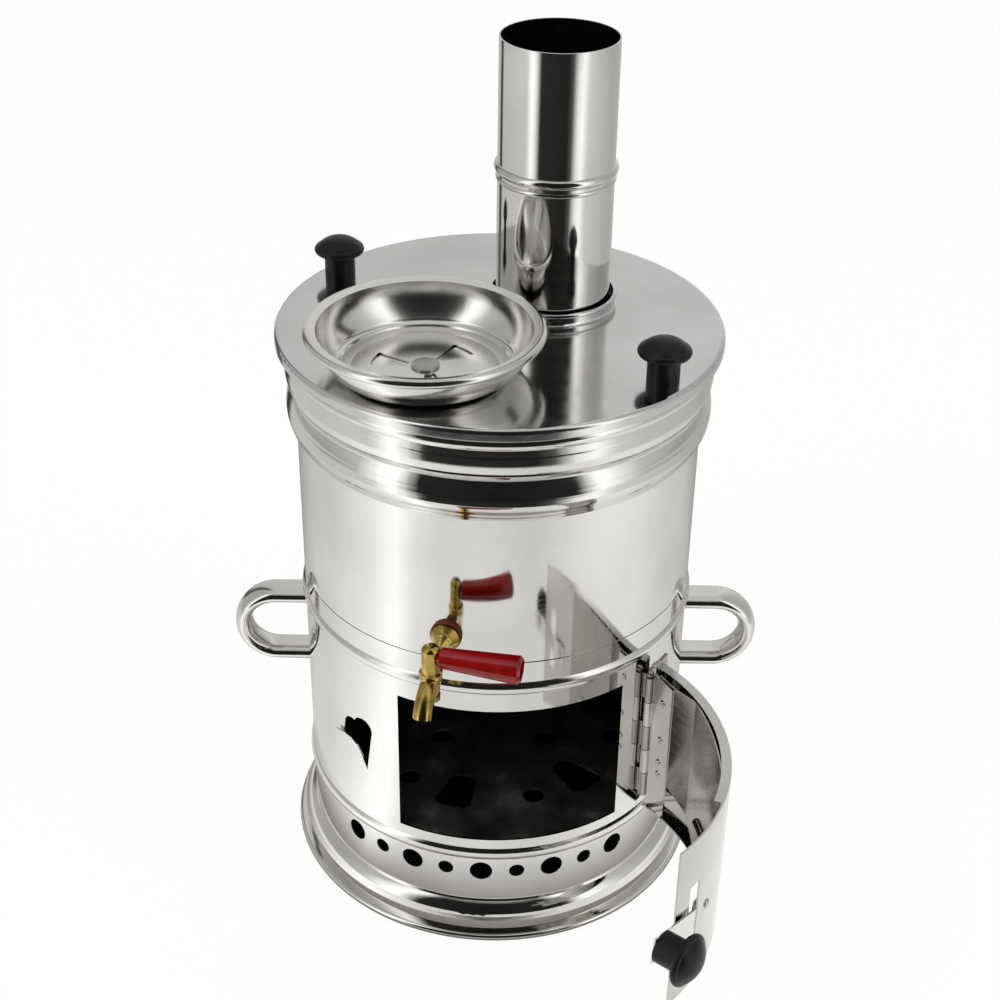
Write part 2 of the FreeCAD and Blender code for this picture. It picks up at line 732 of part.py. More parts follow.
washer_out = d.body_radius + d.washer_thick
washer_body = plain_shape("washer_body", radial_turned([
    (d.body_radius - 2.0, d.pipe_radius + 0.1), (washer_out, d.pipe_radius + 0.1),
    (washer_out, d.tap_flange + 0.6), (d.body_radius - 2.0, d.tap_flange + 0.6)]))
keep(cut("washer_cut", washer_body, [body_cylinder]), "tap_washer")

pipe = radial_turned([
    (d.body_radius - 9.0, 0.0), (d.body_radius - 9.0, d.pipe_radius), (washer_out, d.pipe_radius),
    (washer_out, d.tap_flange), (washer_out + 1.4, d.tap_flange), (washer_out + 4.2, d.tap_flange - 2.2),
    (washer_out + 5.6, d.pipe_radius + 0.8), (washer_out + 6.6, d.pipe_radius), (washer_out + 7.0, 0.0)])
water_way = radial_turned([
    (d.body_radius - 10.0, 0.0), (d.body_radius - 10.0, d.pipe_radius - 2.0),
    (washer_out + 7.0, d.pipe_radius - 2.0), (washer_out + 7.0, 0.0)])
neck_from = along(washer_out + 5.0)
neck_to = along(d.tap_reach, d.plug_seat - 7.4)
neck_mid = (neck_from + neck_to) * 0.5 + UP * 1.6
neck_arc = Part.Arc(neck_from, neck_mid, neck_to).toShape()
neck_way = neck_arc.tangentAt(neck_arc.FirstParameter)
neck_ring = Part.Wire([Part.Circle(neck_from, neck_way, d.pipe_radius).toShape()])
neck_core = Part.Wire([Part.Circle(neck_from, neck_way, d.pipe_radius - 2.0).toShape()])
neck = Part.Wire([neck_arc]).makePipeShell([neck_ring], True, False)
neck_bore = Part.Wire([neck_arc]).makePipeShell([neck_core], True, False)
barrel_face = Part.Face(Part.makePolygon([vec(r, 0, z) for r, z in (
    (0.0, d.barrel_low), (d.barrel_radius - 1.6, d.barrel_low), (d.barrel_radius - 1.0, d.barrel_low + 3.6),
    (d.barrel_radius - 0.6, d.plug_seat - 4.4), (d.barrel_radius, d.plug_seat - 3.0),
    (d.barrel_radius, d.plug_seat - 1.2), (d.barrel_radius - 0.6, d.plug_seat), (0.0, d.plug_seat),
    (0.0, d.barrel_low))]))
barrel = barrel_face.revolve(vec(0, 0, 0), UP, 360)
barrel.translate(along(d.tap_reach, 0.0))
spout_from = along(d.tap_reach + 0.5, d.plug_seat - 5.6)
spout_bend = along(d.tap_reach + 9.8, d.plug_seat - 8.4)
spout_end = along(d.tap_reach + 16.2, d.plug_seat - 16.4)
spout_arc = Part.Arc(spout_from, spout_bend, spout_end).toShape()
spout_way = spout_arc.tangentAt(spout_arc.FirstParameter)
spout_ring = Part.Wire([Part.Circle(spout_from, spout_way, d.spout_radius).toShape()])
spout_core = Part.Wire([Part.Circle(spout_from, spout_way, d.spout_radius - 1.5).toShape()])
spout = Part.Wire([spout_arc]).makePipeShell([spout_ring], True, False)
spout_bore = Part.Wire([spout_arc]).makePipeShell([spout_core], True, False)
stem_bore = Part.makeCylinder(d.plug_stem + d.fit_gap, 60.0, along(d.tap_reach, d.barrel_low - 10.0))
brass = pipe.fuse([neck, barrel, spout])
plug_room = Part.makeCylinder(d.plug_radius + 1.7, 30.0, along(d.tap_reach, d.plug_seat))
nut_room = Part.makeCylinder(d.plug_stem + 2.3, 12.0, along(d.tap_reach, d.barrel_low - 12.0))
for bore in (water_way, neck_bore, spout_bore, stem_bore, plug_room, nut_room):
    brass = brass.cut(bore)
keep(plain_shape("tap_brass", brass.removeSplitter()), "tap_body")

nut_reach = d.body_radius - d.sheet - 4.6
nut_points = [vec(*polar(60.0 * i, 8.4), 0) for i in range(6)]
nut = Part.Face(Part.makePolygon(nut_points + nut_points[:1])).extrude(vec(0, 0, 3.8))
nut = nut.cut(Part.makeCylinder(d.pipe_radius, 10.0, vec(0, 0, -2)))
nut.Placement = FreeCAD.Placement(along(nut_reach - 0.6), FreeCAD.Rotation(UP, out))
keep(plain_shape("tap_nut_solid", nut), "tap_nut")

plug = turned("plug_body", [
    ("0", "barrel_low - 3.4"),
    ("plug_stem", "barrel_low - 3.4"),
    ("plug_stem", "plug_seat + 0.05"),
    ("plug_radius + 1.1", "plug_seat + 0.05"),
    ("plug_radius + 1.3", "plug_seat + 0.9"),
    ("plug_radius", "plug_seat + 1.9"),
    ("plug_radius", "plug_top - 2.6"),
    ("0.3", "plug_top", "plug_radius * 0.7", "plug_top - 0.8"),
    ("0", "plug_top"),
])
plug_axis = along(d.tap_reach, 0.0)
moved(plug, plug_axis.x, plug_axis.y)
arm = cylinder("lever_arm", "lever_root * 0.5", "lever_length - 6.0", along(d.tap_reach, d.lever_height), side)
keep(joined("plug_joined", [plug, arm]), "tap_plug")

lever_points = [
    (d.plug_radius + 0.1, d.lever_root * 0.5), (d.plug_radius + 0.1, d.lever_root - 0.6),
    (d.plug_radius + 0.8, d.lever_root), (d.lever_length - 1.2, d.lever_tip),
    (d.lever_length, d.lever_tip - 1.2),
    (d.lever_length, d.lever_tip - 2.0), (d.lever_length - 5.5, d.lever_tip - 2.4),
    (d.lever_length - 5.5, d.lever_root * 0.5)]
lever_face = Part.Face(Part.makePolygon([vec(r, 0, t) for t, r in lever_points + lever_points[:1]]))
lever = lever_face.revolve(vec(0, 0, 0), UP, 360)
lever.Placement = FreeCAD.Placement(along(d.tap_reach, d.lever_height), FreeCAD.Rotation(UP, side))
keep(plain_shape("lever_solid", lever), "tap_lever")

keep(moved(turned("plug_nut_body", [
    ("plug_stem", "barrel_low - 3.2"),
    ("plug_stem + 1.9", "barrel_low - 3.2"),
    ("plug_stem + 1.9", "barrel_low - 0.3"),
    ("plug_stem", "barrel_low - 0.3"),
]), plug_axis.x, plug_axis.y), "tap_plug_nut")

# Fire door. It is drawn shut and turned about the hinge to the pose that it stands in.

hinge = around(d.hinge_azimuth, d.hinge_reach)
door_turn = FreeCAD.Placement(vec(0, 0, 0), FreeCAD.Rotation(UP, d.door_open), hinge)


def arc_band(r_in, r_out, a0, a1, low, high, x=d.panel_x, y=d.panel_y):
    """A curved band: part of a ring between two radii, two angles and two heights."""
    am = (a0 + a1) / 2
    p = [vec(*polar(a, r, x, y), low) for a, r in (
        (a0, r_in), (am, r_in), (a1, r_in), (a1, r_out), (am, r_out), (a0, r_out))]
    wire = Part.Wire([
        Part.Arc(p[0], p[1], p[2]).toShape(),
        Part.makeLine(p[2], p[3]),
        Part.Arc(p[3], p[4], p[5]).toShape(),
        Part.makeLine(p[5], p[0]),
    ])
    return Part.Face(wire).extrude(vec(0, 0, high - low))


def strip(points, thick, low, high):
    """An upright bent strip: plan points on one face, thickness to the left of the path."""
    left = []
    for i, p in enumerate(points):
        a = points[max(i - 1, 0)]
        b = points[min(i + 1, len(points) - 1)]
        n1 = vec(-(p.y - a.y), p.x - a.x, 0) if i > 0 else vec(-(b.y - p.y), b.x - p.x, 0)
        n2 = vec(-(b.y - p.y), b.x - p.x, 0) if i < len(points) - 1 else n1
        n1.normalize()
        n2.normalize()
        mean = n1 + n2
        mean.normalize()
        left.append(p + mean * (thick / mean.dot(n1)))
    ring_points = [vec(q.x, q.y, low) for q in points + left[::-1]]
    return Part.Face(Part.makePolygon(ring_points + ring_points[:1])).extrude(vec(0, 0, high - low))


panel_out = d.panel_radius + d.sheet
panel = arc_band(d.panel_radius, panel_out, d.panel_start, d.panel_end, d.panel_low, d.panel_high)
tray_in = d.panel_radius - d.tray_depth
for low in (d.panel_low, d.panel_high - d.sheet):
    panel = panel.fuse(arc_band(tray_in, d.panel_radius + 0.2, d.panel_start, d.tray_end, low, low + d.sheet))
tangent_out = vec(*polar(d.latch_angle, 1.0), 0)
tangent_end = vec(tangent_out.y, -tangent_out.x, 0)
pivot = vec(*polar(d.latch_angle, d.panel_radius, d.panel_x, d.panel_y), 0)


def on_latch(t, n, height=0.0):
    """A point by its distance along the latch from the pivot, and outwards from the door's inside."""
    p = pivot + tangent_end * t + tangent_out * n
    return vec(p.x, p.y, height)


slot_points = [on_latch(d.slot_from, -8.0), on_latch(d.slot_to, -8.0), on_latch(d.slot_to, 8.0),
               on_latch(d.slot_from, 8.0)]
slot = Part.Face(Part.makePolygon([vec(p.x, p.y, d.slot_low) for p in slot_points + slot_points[:1]]))
panel = panel.cut(slot.extrude(vec(0, 0, d.slot_high - d.slot_low)))
latch_bore = Part.makeCylinder(d.rivet_shank * 0.7, d.through, on_latch(0.0, -d.through / 2, d.latch_height),
                               tangent_out)
panel = panel.cut(latch_bore).removeSplitter()
keep(plain_shape("door_panel_solid", panel, door_turn), "door_panel")

# The shield inside the door: a flat leg on the hinge leaf, then a gentle curve under the flanges.

leaf_dir = vec(-0.797, -0.604, 0)
leaf_out = vec(-leaf_dir.y, leaf_dir.x, 0)
shield_from = vec(*polar(-59.8, d.panel_radius - 4.1, d.panel_x, d.panel_y), 0)
shield_mid = vec(*polar(-80.0, d.panel_radius - 5.3, d.panel_x, d.panel_y), 0)
shield_to = vec(*polar(-99.4, d.panel_radius - 1.3, d.panel_x, d.panel_y), 0)
shield_low = d.panel_low + d.sheet
shield_high = d.panel_high - d.sheet
shield_curve = Part.Arc(shield_from, shield_mid, shield_to).toShape().Curve
bow = shield_curve.Center
bow_radius = shield_curve.Radius
bow_from = math.degrees(math.atan2(shield_from.y - bow.y, shield_from.x - bow.x))
bow_to = math.degrees(math.atan2(shield_to.y - bow.y, shield_to.x - bow.x))
leg = [shield_from, hinge + leaf_dir * d.leaf_long + leaf_out * (d.sheet + d.shield_sheet),
       hinge + leaf_dir * 7.0 + leaf_out * (d.sheet + d.shield_sheet)]
shield = strip(leg, d.shield_sheet, shield_low, shield_high)
shield_bow = arc_band(bow_radius - d.shield_sheet, bow_radius, bow_from, bow_to, shield_low, shield_high,
                      bow.x, bow.y)
shield = shield.fuse(shield_bow)
rib_height = 92.0
rib_rise = 2.4
rib_start = vec(*polar(bow_from - 5.0, bow_radius - d.shield_sheet, bow.x, bow.y), rib_height)
rib_in = bow - vec(rib_start.x, rib_start.y, 0)
rib_in.normalize()
rib_face = Part.Face(Part.Wire([
    Part.Arc(rib_start - UP * 3.2, rib_start + rib_in * rib_rise, rib_start + UP * 3.2).toShape(),
    Part.makeLine(rib_start + UP * 3.2, rib_start + UP * 3.2 - rib_in * 0.4),
    Part.makeLine(rib_start + UP * 3.2 - rib_in * 0.4, rib_start - UP * 3.2 - rib_in * 0.4),
    Part.makeLine(rib_start - UP * 3.2 - rib_in * 0.4, rib_start - UP * 3.2),
]))
shield = shield.fuse(rib_face.revolve(bow, UP, bow_to - bow_from + 12.0))
corner = [vec(84.0, -60.0, d.panel_low - 1.0), vec(84.0, -60.0, 98.0), vec(73.0, -60.0, 98.0),
          vec(40.0, -60.0, shield_low + 2.0), vec(40.0, -60.0, d.panel_low - 1.0)]
shield = shield.cut(Part.Face(Part.makePolygon(corner + corner[:1])).extrude(vec(0, -80, 0)))
leaf_rivet_at = d.leaf_long * 0.62
leaf_rivet_seat = hinge + leaf_dir * leaf_rivet_at
leaf_rivet_heights = [d.hinge_high - drop for drop in (10.0, 35.5, 51.5, 60.0)]
for height in leaf_rivet_heights:
    seat = leaf_rivet_seat + UP * height
    shield = shield.cut(Part.makeCylinder(d.hinge_rivet, 12.0, seat - leaf_out * 4.0, leaf_out))
keep(plain_shape("door_shield_solid", shield.removeSplitter(), door_turn), "door_shield")

# Hinge: two leaves with knuckles on one pin.

knuckle_step = (d.hinge_high - d.hinge_low) / 5.0


def knuckles(odd):
    pieces = []
    for i in range(5):
        if (i % 2 == 1) == odd:
            low = d.hinge_low + i * knuckle_step + 0.2
            tube = Part.makeCylinder(d.knuckle_radius, knuckle_step - 0.4, vec(hinge.x, hinge.y, low))
            pieces.append(tube)
    return pieces


hinge_tall = d.hinge_high - d.hinge_low
pin_bore_foot = vec(hinge.x, hinge.y, d.hinge_low - hinge_tall / 2)
pin_bore = Part.makeCylinder(d.pin_radius + d.fit_gap, hinge_tall * 2, pin_bore_foot)
body_leaf = arc_band(d.body_radius, d.body_radius + d.sheet, -90.0 + d.hinge_azimuth + 1.2,
                     -90.0 + d.hinge_azimuth + 12.0, d.hinge_low, d.hinge_high, 0.0, 0.0)
knuckle_room = Part.makeCylinder(d.knuckle_radius + 0.5, hinge_tall, vec(hinge.x, hinge.y, d.hinge_low))
body_leaf = body_leaf.cut(knuckle_room)
for tube in knuckles(False):
    root = arc_band(d.body_radius, d.body_radius + 2.6, -90.0 + d.hinge_azimuth + 0.2,
                    -90.0 + d.hinge_azimuth + 2.6, tube.BoundBox.ZMin, tube.BoundBox.ZMax, 0.0, 0.0)
    body_leaf = body_leaf.fuse([tube, root])
body_leaf = body_leaf.cut(pin_bore)
rivet_way = around(rivet_azimuth, 1.0)
for height in rivet_heights:
    seat = around(rivet_azimuth, d.body_radius - 6.0, height)
    body_leaf = body_leaf.cut(Part.makeCylinder(d.hinge_rivet, 12.0, seat, rivet_way))
keep(plain_shape("hinge_leaf_body", body_leaf.removeSplitter()), "hinge_leaf_fixed")

leaf_start = hinge + leaf_dir * (d.knuckle_radius - 0.6)
leaf_end = hinge + leaf_dir * (d.leaf_long - 0.5)
door_leaf = strip([leaf_start, leaf_end], d.sheet, d.hinge_low - 4.0, d.hinge_high + 4.0)
leaf_tubes = knuckles(True)
clear = []
for i in range(5):
    low = d.hinge_low + i * knuckle_step
    if i % 2 == 0:
        clear.append(Part.makeCylinder(d.knuckle_radius + 0.4, knuckle_step, vec(hinge.x, hinge.y, low)))
clear.append(Part.makeCylinder(d.knuckle_radius + 0.4, 5.0, vec(hinge.x, hinge.y, d.hinge_low - 5.0)))
clear.append(Part.makeCylinder(d.knuckle_radius + 0.4, 5.0, vec(hinge.x, hinge.y, d.hinge_high)))
door_leaf = door_leaf.cut(clear)
door_leaf = door_leaf.fuse(leaf_tubes).cut(pin_bore)
leaf_rivets = []
for height in leaf_rivet_heights:
    seat = leaf_rivet_seat + UP * height
    door_leaf = door_leaf.cut(Part.makeCylinder(d.hinge_rivet, 12.0, seat - leaf_out * 4.0, leaf_out))
    stack = d.sheet + d.shield_sheet
    inner_head = Part.makeCone(d.hinge_rivet, d.hinge_rivet * 1.5, 0.8, seat - leaf_out * 0.8, leaf_out)
    outer_head = Part.makeCylinder(d.hinge_rivet * 1.4, 0.8, seat + leaf_out * stack, leaf_out)
    leaf_rivets.append(Part.makeCylinder(d.hinge_rivet, stack, seat, leaf_out).fuse(
        [inner_head, outer_head]).removeSplitter())
keep(plain_shape("door_leaf_rivets", Part.makeCompound(leaf_rivets), door_turn), "hinge_rivets_door")
keep(plain_shape("hinge_leaf_door", door_leaf.removeSplitter(), door_turn), "hinge_leaf_moving")

pin = Part.makeCylinder(d.pin_radius, hinge_tall + 2.4, vec(hinge.x, hinge.y, d.hinge_low - 1.2))
pin = pin.fuse(Part.makeSphere(d.pin_radius + 0.9, vec(hinge.x, hinge.y, d.hinge_high + 1.4), UP, 0, 90, 360))
keep(plain_shape("hinge_pin_solid", pin.removeSplitter()), "hinge_pin")

# Latch: a flat lever on a rivet, out through the slot, with a knob on its free end.

lever_run = [
    on_latch(-7.0, -1.0 - d.latch_sheet),
    on_latch(13.0, -1.0 - d.latch_sheet),
    on_latch(17.6, 0.7),
    on_latch(d.latch_knob_at + 7.0, 0.7 - (d.latch_knob_at + 7.0 - 17.6) * math.tan(math.radians(10.5))),
]
latch_low = d.latch_height - d.latch_wide / 2
latch = strip(lever_run, d.latch_sheet, latch_low, latch_low + d.latch_wide)
latch = latch.cut(Part.makeCylinder(d.rivet_shank * 0.7 + d.fit_gap, 20.0, on_latch(0.0, -12.0, d.latch_height),
                                    tangent_out))
knob_way = lever_run[2] - lever_run[3]
knob_dir = vec(knob_way.y, -knob_way.x, 0)
if knob_dir.dot(tangent_out) < 0:
    knob_dir = knob_dir * -1
knob_dir.normalize()
outer_leg = lever_run[3] - lever_run[2]
outer_leg.normalize()
knob_seat = lever_run[3] - outer_leg * 7.0
knob_foot = vec(knob_seat.x, knob_seat.y, d.latch_height)
knob_foot = knob_foot + knob_dir * d.latch_sheet
latch = latch.cut(Part.makeCylinder(d.screw_radius + 0.1, 12.0, knob_foot - knob_dir * 6.0, knob_dir))
latch_pivot = on_latch(0.0, 0.0, d.latch_height)
latch_turn = door_turn.multiply(FreeCAD.Placement(vec(0, 0, 0), FreeCAD.Rotation(tangent_out, -d.latch_tilt),
                                                  latch_pivot))
keep(plain_shape("latch_solid", latch.removeSplitter(), latch_turn), "latch_strip")

latch_knob = turned("latch_knob_body", knob_points("0"))
latch_knob_place = FreeCAD.Placement(knob_foot, FreeCAD.Rotation(UP, knob_dir))
latch_knob.Placement = latch_turn.multiply(latch_knob_place)
keep(latch_knob, "latch_knob")
latch_screw = turned("latch_screw_body", [
    ("0", "0 - latch_sheet - 1.6"),
    ("3.4", "0 - latch_sheet - 1.6"),
    ("3.4", "0 - latch_sheet"),
    ("screw_radius", "0 - latch_sheet"),
    ("screw_radius", "12.0"),
    ("0", "12.0"),
])
latch_screw.Placement = latch_turn.multiply(latch_knob_place)
keep(latch_screw, "latch_screw")

rivet_axis = FreeCAD.Rotation(UP, tangent_out)
latch_rivet = turned("latch_rivet_body", [
    ("0", "0 - latch_sheet - 1.8"),
    ("rivet_shank * 1.3", "0 - latch_sheet - 1.8"),
    ("rivet_shank * 1.3", "0 - latch_sheet - 1.1"),
    ("rivet_shank * 0.7", "0 - latch_sheet - 1.1"),
    ("rivet_shank * 0.7", "0 - 0.95"),
    ("rivet_shank * 1.1", "0 - 0.95"),
    ("rivet_shank * 1.1", "0 - 0.1"),
    ("rivet_shank * 0.7", "0 - 0.1"),
    ("rivet_shank * 0.7", "sheet + 0.05"),
    ("rivet_shank * 0.9", "sheet + 0.05"),
    ("0.2", "sheet + 1.3", "rivet_shank * 0.6", "sheet + 1.0"),
    ("0", "sheet + 1.3"),
])
latch_rivet_place = FreeCAD.Placement(on_latch(0.0, 0.0, d.latch_height), rivet_axis)
latch_rivet.Placement = door_turn.multiply(latch_rivet_place)
keep(latch_rivet, "latch_rivet")

# Rivets of the hinge's fixed leaf.

rivet_solids = []
for height in rivet_heights:
    seat = around(rivet_azimuth, d.body_radius - d.sheet, height)
    shank_solid = Part.makeCylinder(d.hinge_rivet, d.sheet * 2, seat, rivet_way)
    head = Part.makeCylinder(d.hinge_rivet * 1.7, 0.9, seat + rivet_way * (d.sheet * 2), rivet_way)
    foot = Part.makeCylinder(d.hinge_rivet * 1.6, 1.0, seat - rivet_way * 1.2, rivet_way)
    neck_solid = Part.makeCylinder(d.hinge_rivet, 1.2, seat - rivet_way * 1.2, rivet_way)
    rivet_solids.append(shank_solid.fuse([head, foot, neck_solid]).removeSplitter())
keep(plain_shape("fixed_leaf_rivets", Part.makeCompound(rivet_solids)), "hinge_rivets_fixed")

doc.recompute()
for thing in doc.Objects:
    if "Invalid" in thing.State or "Error" in thing.State:
        raise RuntimeError("%s failed: %s" % (thing.Label, thing.State))
for part in parts:
    if part.Shape.isNull() or not part.Shape.isValid():
        raise RuntimeError("%s has no valid shape" % part.Label)
for part in parts:
    part.Shape.exportStep(os.path.join("parts", part.Label + ".step"))
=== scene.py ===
import math

import bpy
from mathutils import Matrix, Vector


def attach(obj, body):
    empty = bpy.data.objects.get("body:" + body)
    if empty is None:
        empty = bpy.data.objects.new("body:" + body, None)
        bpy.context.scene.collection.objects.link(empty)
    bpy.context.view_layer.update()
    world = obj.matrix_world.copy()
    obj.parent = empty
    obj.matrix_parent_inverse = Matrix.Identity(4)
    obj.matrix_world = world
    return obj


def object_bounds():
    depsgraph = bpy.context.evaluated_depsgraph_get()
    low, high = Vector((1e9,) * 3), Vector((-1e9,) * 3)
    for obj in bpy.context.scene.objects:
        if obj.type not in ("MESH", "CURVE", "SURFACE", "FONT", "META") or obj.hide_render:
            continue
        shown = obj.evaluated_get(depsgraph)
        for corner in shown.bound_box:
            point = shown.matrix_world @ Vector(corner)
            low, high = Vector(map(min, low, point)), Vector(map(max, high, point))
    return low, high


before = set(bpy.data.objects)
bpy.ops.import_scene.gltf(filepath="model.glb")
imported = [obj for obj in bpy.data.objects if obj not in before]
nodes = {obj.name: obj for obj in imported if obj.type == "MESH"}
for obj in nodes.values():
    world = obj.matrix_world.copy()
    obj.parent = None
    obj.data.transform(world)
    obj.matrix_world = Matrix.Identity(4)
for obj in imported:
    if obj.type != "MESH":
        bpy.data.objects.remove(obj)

cad_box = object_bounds()
scene = bpy.context.scene

# Camera: the photograph was taken from above, a little tilted.

CAMERA_PLACE = Vector((0.0, -0.8241, 0.7347))
CAMERA_PITCH = math.radians(31.802)
CAMERA_YAW = math.radians(0.107)
CAMERA_ROLL = math.radians(0.904)
CAMERA_LENS = 61.73
SENSOR_WIDTH = 36.0
NEAREST_SEEN = 0.05


def add_camera():
    cam = bpy.data.objects.new("camera", bpy.data.cameras.new("camera"))
    scene.collection.objects.link(cam)
    cam.data.sensor_width = SENSOR_WIDTH
    cam.data.lens = CAMERA_LENS
    cam.data.clip_start = NEAREST_SEEN
    forward = Vector((math.sin(CAMERA_YAW) * math.cos(CAMERA_PITCH),
                      math.cos(CAMERA_YAW) * math.cos(CAMERA_PITCH),
                      -math.sin(CAMERA_PITCH)))
    level = Vector((math.cos(CAMERA_YAW), -math.sin(CAMERA_YAW), 0.0))
    upright = level.cross(forward)
    right = level * math.cos(CAMERA_ROLL) + upright * math.sin(CAMERA_ROLL)
    up = upright * math.cos(CAMERA_ROLL) - level * math.sin(CAMERA_ROLL)
    turn = Matrix((right, up, -forward)).transposed()
    cam.matrix_world = Matrix.Translation(CAMERA_PLACE) @ turn.to_4x4()
    scene.camera = cam


add_camera()

# Shader nodes. Each of these helpers returns the output of the node that it adds.


def add_node(tree, kind, inputs, output=0, **settings):
    """Add a node with these settings. An input is fed from another node's output or set to a value."""
    made = tree.nodes.new(kind)
    for name, value in settings.items():
        setattr(made, name, value)
    for key, source in inputs.items():
        if isinstance(source, bpy.types.NodeSocket):
            tree.links.new(source, made.inputs[key])
        else:
            made.inputs[key].default_value = source
    return made.outputs[output]


def noise(tree, scale, detail=4.0, stretch=(1, 1, 1)):
    where = tree.nodes.new("ShaderNodeTexCoord").outputs["Object"]
    mapped = add_node(tree, "ShaderNodeMapping", {"Vector": where, "Scale": stretch})
    return add_node(tree, "ShaderNodeTexNoise", {"Vector": mapped, "Scale": scale, "Detail": detail}, "Fac")


def ramp(tree, source, stops):
    """Colours along a value: stops are (place from 0 to 1, colour)."""
    made = tree.nodes.new("ShaderNodeValToRGB")
    elements = made.color_ramp.elements
    while len(elements) < len(stops):
        elements.new(0.5)
    for element, (place, colour) in zip(elements, stops):
        element.position = place
        element.color = (*colour, 1.0)
    tree.links.new(source, made.inputs["Fac"])
    return made.outputs["Color"]


def spread(tree, source, low, high, start=0.3, end=0.7):
    """Map start..end of a value to low..high; the defaults are the middle of a noise texture's values."""
    return add_node(tree, "ShaderNodeMapRange", {"Value": source, "From Min": start, "From Max": end,
                                                 "To Min": low, "To Max": high}, "Result")


def separate(tree, vector):
    """The X, Y and Z outputs of a vector."""
    parts = tree.nodes.new("ShaderNodeSeparateXYZ")
    tree.links.new(vector, parts.inputs[0])
    return parts.outputs


def mix_colours(tree, share, low, high):
    return add_node(tree, "ShaderNodeMix", {"Factor": share, 6: low, 7: high}, 2, data_type="RGBA")


def mix_shaders(tree, share, low, high):
    return add_node(tree, "ShaderNodeMixShader", {0: share, 1: low, 2: high})


def azimuth_of(tree, parts):
    """How far round the object, from 0 to 1: 0.5 is the front (-Y), above it is towards +X."""
    forward = add_node(tree, "ShaderNodeMath", {0: parts["Y"], 1: -1.0}, operation="MULTIPLY")
    turn = add_node(tree, "ShaderNodeMath", {0: parts["X"], 1: forward}, operation="ARCTAN2")
    return add_node(tree, "ShaderNodeMath", {0: turn, 1: 0.5 / math.pi, 2: 0.5}, operation="MULTIPLY_ADD")


# Materials. Colours are linear, and a length in a material is in metres.

STEEL_TONES = ((0.70, 0.69, 0.67), (0.78, 0.77, 0.75))
HOOP_RELIEF = 0.0015
HOOP_HEIGHTS = ((0.2796, 0.0), (0.2830, 0.0), (0.2902, 0.85), (0.2935, 0.42), (0.2970, 0.06), (0.3000, 0.0),
                (0.3046, 0.0), (0.3084, 0.9), (0.3185, 0.0), (0.3236, 0.0))


def shader_of(mat):
    return mat.node_tree.nodes["Principled BSDF"]


def mottled(name, metallic, clouds, stops, rough, grain, relief, haze=None):
    """A surface whose colour and gloss vary in clouds, with a grain of the given (strength, height).

    Clouds, grain and haze are noises; haze, where there is one, takes over the gloss.
    """
    mat = bpy.data.materials.new(name)
    mat.use_nodes = True
    tree = mat.node_tree
    shader = shader_of(mat)
    shader.inputs["Metallic"].default_value = metallic
    cloud = noise(tree, *clouds)
    tree.links.new(ramp(tree, cloud, stops), shader.inputs["Base Color"])
    gloss = noise(tree, *haze) if haze else cloud
    tree.links.new(spread(tree, gloss, *rough), shader.inputs["Roughness"])
    strength, height = relief
    bumps = {"Height": noise(tree, *grain), "Strength": strength, "Distance": height}
    tree.links.new(add_node(tree, "ShaderNodeBump", bumps, "Normal"), shader.inputs["Normal"])
    return mat


def polished(name, tones, rough=(0.05, 0.11), wave=0.0004):
    """Mirror-polished sheet: faint cloudy colour, fine polishing haze and slight waves."""
    stops = ((0.35, tones[0]), (0.65, tones[1]))
    return mottled(name, 1.0, (18.0, 5.0), stops, rough, (14.0, 1.0, (1, 1, 0.6)), (0.12, wave),
                   haze=(90.0, 3.0, (1, 1, 6)))


def hooped():
    """Polished sheet of the tank: its hoops are a little fuller in their lower half than plain arcs."""
    mat = polished("tank_steel", STEEL_TONES)
    tree = mat.node_tree
    height = separate(tree, tree.nodes.new("ShaderNodeTexCoord").outputs["Object"])["Z"]
    low, high = HOOP_HEIGHTS[0][0], HOOP_HEIGHTS[-1][0]
    share = spread(tree, height, 0.0, 1.0, low, high)
    rise = ramp(tree, share, [((z - low) / (high - low), (h, h, h)) for z, h in HOOP_HEIGHTS])
    normal = shader_of(mat).inputs["Normal"]
    fuller = {"Height": rise, "Normal": normal.links[0].from_socket, "Strength": 1.0, "Distance": HOOP_RELIEF}
    tree.links.new(add_node(tree, "ShaderNodeBump", fuller, "Normal"), normal)
    return mat


def plastic(name, dark, light, rough, grain, gloss):
    mat = mottled(name, 0.0, (120.0, 5.0), ((0.3, dark), (0.7, light)), rough, (1400.0,), (grain, 0.0002))
    shader_of(mat).inputs["Specular IOR Level"].default_value = gloss
    return mat


SOOT_STOPS = ((0.30, (0.012, 0.012, 0.011)), (0.62, (0.05, 0.048, 0.045)), (0.78, (0.16, 0.15, 0.14)))
ASH_STOPS = ((0.32, (0.022, 0.021, 0.020)), (0.58, (0.065, 0.063, 0.06)), (0.76, (0.20, 0.195, 0.18)))
BRASS_STOPS = ((0.30, (0.16, 0.10, 0.025)), (0.50, (0.46, 0.32, 0.08)), (0.72, (0.70, 0.52, 0.17)))
SPUN_STOPS = ((0.35, (0.70, 0.69, 0.67)), (0.65, (0.82, 0.81, 0.79)))

steel = polished("steel", STEEL_TONES)
tank_steel = hooped()
lid_steel = polished("lid_steel", ((0.66, 0.655, 0.65), (0.74, 0.735, 0.73)), (0.10, 0.16))
door_steel = polished("door_steel", ((0.54, 0.53, 0.51), (0.64, 0.63, 0.61)), (0.07, 0.14), 0.0008)
dull_steel = polished("dull_steel", ((0.34, 0.325, 0.31), (0.46, 0.44, 0.42)), (0.12, 0.20), 0.0008)
pin_steel = polished("pin_steel", ((0.42, 0.41, 0.40), (0.60, 0.59, 0.58)), (0.22, 0.34))
# Satin sheet, spun on a lathe.
spun_steel = mottled("spun_steel", 1.0, (22.0, 4.0), SPUN_STOPS, (0.13, 0.21), (600.0, 2.0, (1, 1, 6)),
                     (0.10, 0.0002))
